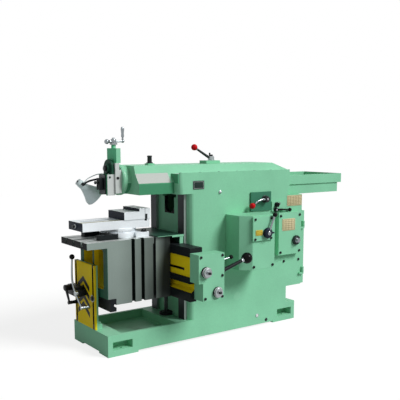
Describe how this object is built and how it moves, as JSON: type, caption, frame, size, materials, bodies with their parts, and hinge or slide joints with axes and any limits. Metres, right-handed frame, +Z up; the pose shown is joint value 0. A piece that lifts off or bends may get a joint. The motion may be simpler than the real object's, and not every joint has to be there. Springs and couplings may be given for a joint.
{
  "type": "metal shaper",
  "caption": "Crank-driven metal shaper with a sliding ram and swivel tool head over a box table with a swivel vise on a lifting cross rail.",
  "frame": {"origin": "on the floor, in the middle of the foundation bolt pattern", "axes": "+X along the ram to the rear, tool head towards -X, operating side faces -Y, +Z up"},
  "size_m": [2.655, 1.176, 1.719],
  "materials": {
    "green_enamel": "satin enamel over filled cast iron",
    "dark_enamel": "dark satin enamel",
    "yellow_enamel": "yellow enamel with black bands",
    "motor_enamel": "grey green enamel",
    "lamp_enamel": "pale grey blue enamel",
    "black_enamel": "black semi gloss",
    "ground_steel": "ground and turned",
    "planed_iron": "planed casting",
    "bright_chrome": "polished",
    "bronze": "cast and turned",
    "black_knob": "moulded",
    "red_knob": "moulded",
    "label": "bare plates without text",
    "belt_rubber": "fabric wrapped",
    "sight_glass": "clear pale plastic"
  },
  "bodies": {
    "frame": {"base": "green_enamel", "column": "green_enamel", "guide_strips": "ground_steel", "cover_bolts": "ground_steel", "gear_case": "green_enamel", "shift_plate": "green_enamel", "access_cover": "green_enamel", "control_panels": "dark_enamel", "label_plates": "label", "ram_guard": "green_enamel", "motor": "motor_enamel", "v_belts": "belt_rubber", "fixed_pins": "ground_steel", "elevating_screw": "ground_steel", "oil_fittings": "sight_glass"},
    "door": {"rear_door": "green_enamel"},
    "bull": {"bull_gear": "planed_iron", "crank_pin": "ground_steel"},
    "countershaft": {"drive_shaft": "ground_steel"},
    "rotor": {"motor_pulley": "ground_steel"},
    "rocker": {"rocker_arm": "planed_iron", "slide_block": "bronze"},
    "shifter": {"shift_lever": "bright_chrome", "shift_knob": "black_knob"},
    "clutch": {"clutch_lever": "bright_chrome", "clutch_knob": "red_knob"},
    "brake": {"brake_lever": "black_enamel"},
    "ram_unit": {"ram": "green_enamel", "ram_block": "planed_iron", "position_drive": "black_enamel", "ram_covers": "green_enamel"},
    "ram_clamp": {"clamp_lever": "bright_chrome", "clamp_knob": "red_knob"},
    "head": {"swivel_plate": "ground_steel", "lamp_arm": "black_enamel"},
    "lamp": {"lamp_shade": "lamp_enamel"},
    "slide_unit": {"tool_slide": "ground_steel"},
    "down_feed": {"feed_crank": "bright_chrome"},
    "clapper_unit": {"clapper_box": "planed_iron"},
    "flap": {"clapper": "ground_steel", "tool_post": "black_enamel"},
    "rail_unit": {"cross_rail": "dark_enamel", "feed_box": "green_enamel", "chip_guard": "green_enamel"},
    "cross_screw": {"cross_feed_screw": "bright_chrome"},
    "lift_shaft": {"elevating_shaft": "bright_chrome"},
    "nut": {"lift_nut": "bronze"},
    "feed_pawl": {"feed_lever": "black_enamel"},
    "reverser": {"reverse_lever": "bright_chrome"},
    "table_unit": {"apron": "dark_enamel", "table": "planed_iron", "support_beam": "green_enamel", "clamp_block": "dark_enamel", "vise_base": "ground_steel"},
    "beam_crank": {"clamp_crank": "black_enamel"},
    "beam_arm": {"clamp_arm": "bright_chrome"},
    "support": {"support_plate": "yellow_enamel"},
    "vise": {"vise_bed": "ground_steel"},
    "jaw": {"vise_jaw": "ground_steel"},
    "jaw_screw": {"vise_screw": "ground_steel"}
  },
  "joints": [
    {"name": "door_hinge", "type": "hinge", "parent": "frame", "child": "door", "pos_m": [1.036, -0.3025, 0.65], "axis": [0, 0, -1], "range_deg": [0, 100]},
    {"name": "bull_spin", "type": "hinge", "parent": "frame", "child": "bull", "pos_m": [0.28, -0.195, 0.76], "axis": [0, 1, 0], "continuous": true},
    {"name": "shaft_spin", "type": "hinge", "parent": "frame", "child": "countershaft", "pos_m": [0.52575, 0, 0.58793], "axis": [0, 1, 0], "continuous": true},
    {"name": "motor_spin", "type": "hinge", "parent": "frame", "child": "rotor", "pos_m": [0.925, 0.15, 0.46], "axis": [0, 1, 0], "continuous": true},
    {"name": "ram_slide", "type": "slide", "parent": "frame", "child": "ram_unit", "axis": [1, 0, 0], "range_m": [-0.57, 0.28]},
    {"name": "rocker_swing", "type": "hinge", "parent": "frame", "child": "rocker", "pos_m": [0.28, 0, 0.3], "axis": [0, 1, 0], "range_deg": [-33, 16.3]},
    {"name": "shift_swing", "type": "hinge", "parent": "frame", "child": "shifter", "pos_m": [0.378, -0.5635, 0.863], "axis": [0, 1, 0], "range_deg": [-20, 20]},
    {"name": "clutch_swing", "type": "hinge", "parent": "frame", "child": "clutch", "pos_m": [0.562, -0.338, 1.113], "axis": [0, 1, 0], "range_deg": [-10, 20]},
    {"name": "brake_swing", "type": "hinge", "parent": "frame", "child": "brake", "pos_m": [0.691, -0.3165, 1.012], "axis": [0, 1, 0], "range_deg": [-25, 0]},
    {"name": "ram_clamp_swing", "type": "hinge", "parent": "ram_unit", "child": "ram_clamp", "pos_m": [0.218, 0, 1.458], "axis": [0, 0, 1], "range_deg": [-35, 35]},
    {"name": "head_swivel", "type": "hinge", "parent": "ram_unit", "child": "head", "pos_m": [-0.68, 0, 1.305], "axis": [1, 0, 0], "range_deg": [-45, 45]},
    {"name": "lamp_tilt", "type": "hinge", "parent": "head", "child": "lamp", "pos_m": [-0.914, 0.187, 1.272], "axis": [0, 1, 0], "range_deg": [-20, 25]},
    {"name": "tool_feed", "type": "slide", "parent": "head", "child": "slide_unit", "axis": [0, 0, 1], "range_m": [-0.05, 0.06]},
    {"name": "feed_crank_turn", "type": "hinge", "parent": "slide_unit", "child": "down_feed", "pos_m": [-0.718, 0, 1.6], "axis": [0, 0, 1], "range_deg": [-3600, 4320]},
    {"name": "clapper_box_swivel", "type": "hinge", "parent": "slide_unit", "child": "clapper_unit", "pos_m": [-0.765, 0, 1.395], "axis": [1, 0, 0], "range_deg": [-10, 10]},
    {"name": "clapper_lift", "type": "hinge", "parent": "clapper_unit", "child": "flap", "pos_m": [-0.791, 0, 1.33], "axis": [0, 1, 0], "range_deg": [0, 35]},
    {"name": "rail_lift", "type": "slide", "parent": "frame", "child": "rail_unit", "axis": [0, 0, 1], "range_m": [-0.07, 0.08]},
    {"name": "lift_nut_turn", "type": "hinge", "parent": "rail_unit", "child": "nut", "pos_m": [-0.25, 0, 0.42], "axis": [0, 0, 1], "range_deg": [-2520, 2880]},
    {"name": "lift_shaft_turn", "type": "hinge", "parent": "rail_unit", "child": "lift_shaft", "pos_m": [-0.177, -0.55, 0.46], "axis": [0, 1, 0], "range_deg": [-5040, 5760]},
    {"name": "feed_lever_swing", "type": "hinge", "parent": "rail_unit", "child": "feed_pawl", "pos_m": [-0.088, -0.5575, 0.604], "axis": [0, 1, 0], "range_deg": [-10, 10]},
    {"name": "reverse_swing", "type": "hinge", "parent": "rail_unit", "child": "reverser", "pos_m": [-0.093, -0.5575, 0.69], "axis": [0, 1, 0], "range_deg": [-10, 10]},
    {"name": "table_cross", "type": "slide", "parent": "rail_unit", "child": "table_unit", "axis": [0, 1, 0], "range_m": [-0.25, 0.25]},
    {"name": "cross_screw_turn", "type": "hinge", "parent": "rail_unit", "child": "cross_screw", "pos_m": [-0.288, 0, 0.625], "axis": [0, 1, 0], "range_deg": [-11250, 11250]},
    {"name": "support_slip", "type": "slide", "parent": "table_unit", "child": "support", "axis": [0, 0, 1], "range_m": [-0.08, 0.07]},
    {"name": "beam_crank_turn", "type": "hinge", "parent": "table_unit", "child": "beam_crank", "pos_m": [-1.06, 0.19, 0.462], "axis": [1, 0, 0], "range_deg": [-12, 60]},
    {"name": "beam_arm_turn", "type": "hinge", "parent": "table_unit", "child": "beam_arm", "pos_m": [-1.034, 0.066, 0.436], "axis": [1, 0, 0], "range_deg": [-15, 15]},
    {"name": "vise_swivel", "type": "hinge", "parent": "table_unit", "child": "vise", "pos_m": [-0.69, 0, 0.93], "axis": [0, 0, 1], "range_deg": [-90, 90]},
    {"name": "jaw_slide", "type": "slide", "parent": "vise", "child": "jaw", "axis": [1, 0, 0], "range_m": [-0.3, 0]},
    {"name": "jaw_screw_turn", "type": "hinge", "parent": "vise", "child": "jaw_screw", "pos_m": [-0.755, 0, 0.968], "axis": [1, 0, 0], "range_deg": [-18000, 0]}
  ],
  "couplings": [
    {"joint": "shaft_spin", "follows": "bull_spin", "ratio": -4},
    {"joint": "motor_spin", "follows": "bull_spin", "ratio": -9.6216},
    {"joint": "rocker_swing", "follows": "ram_slide", "rad_per_m": 1.0086},
    {"joint": "feed_crank_turn", "follows": "tool_feed", "rad_per_m": 1256.6},
    {"joint": "lift_nut_turn", "follows": "rail_lift", "rad_per_m": 628.32},
    {"joint": "lift_shaft_turn", "follows": "rail_lift", "rad_per_m": 1256.6},
    {"joint": "cross_screw_turn", "follows": "table_cross", "rad_per_m": 785.4},
    {"joint": "support_slip", "follows": "rail_lift", "ratio": -1},
    {"joint": "jaw_screw_turn", "follows": "jaw_slide", "rad_per_m": 1047.2}
  ]
}
